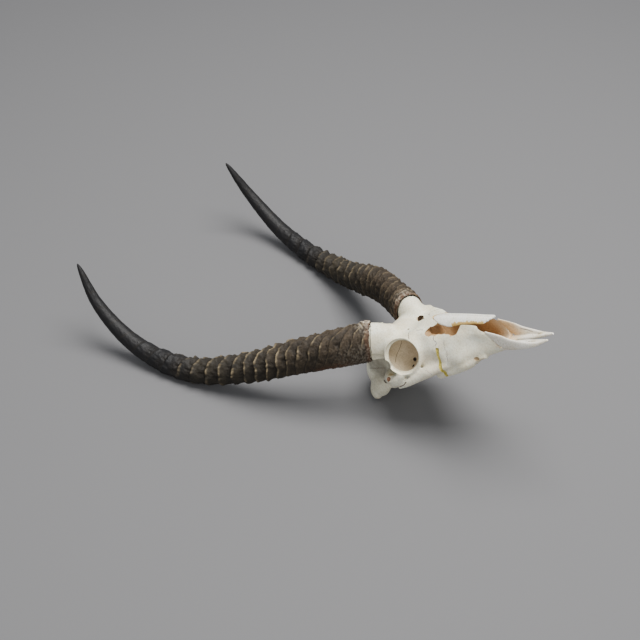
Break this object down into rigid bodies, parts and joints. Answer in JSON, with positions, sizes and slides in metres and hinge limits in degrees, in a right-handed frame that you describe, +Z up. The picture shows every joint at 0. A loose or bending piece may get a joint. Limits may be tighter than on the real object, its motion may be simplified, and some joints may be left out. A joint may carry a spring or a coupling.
{
  "type": "antelope skull with horns",
  "caption": "Bleached upper skull of an antelope with its pair of long ringed horns, lying with the snout tipped up",
  "frame": {"origin": "on the table under the middle of the whole object: the middle of its box in X and Y, and its lowest level", "axes": "+X towards the snout, level; +Y towards the animal's left, square to the plane that divides the skull in two; +Z up as the object rests"},
  "size_m": [0.6088, 0.338, 0.1979],
  "materials": {
    "bone": "matte",
    "nasal_bone": "matte",
    "front_bone": "matte",
    "horn": "satin"
  },
  "bodies": {
    "root": {"cranium": "bone", "nasal_left": "nasal_bone", "nasal_right": "nasal_bone", "premaxilla_left": "front_bone", "premaxilla_right": "front_bone", "horn_sheath_left": "horn", "horn_sheath_right": "horn"}
  },
  "joints": []
}
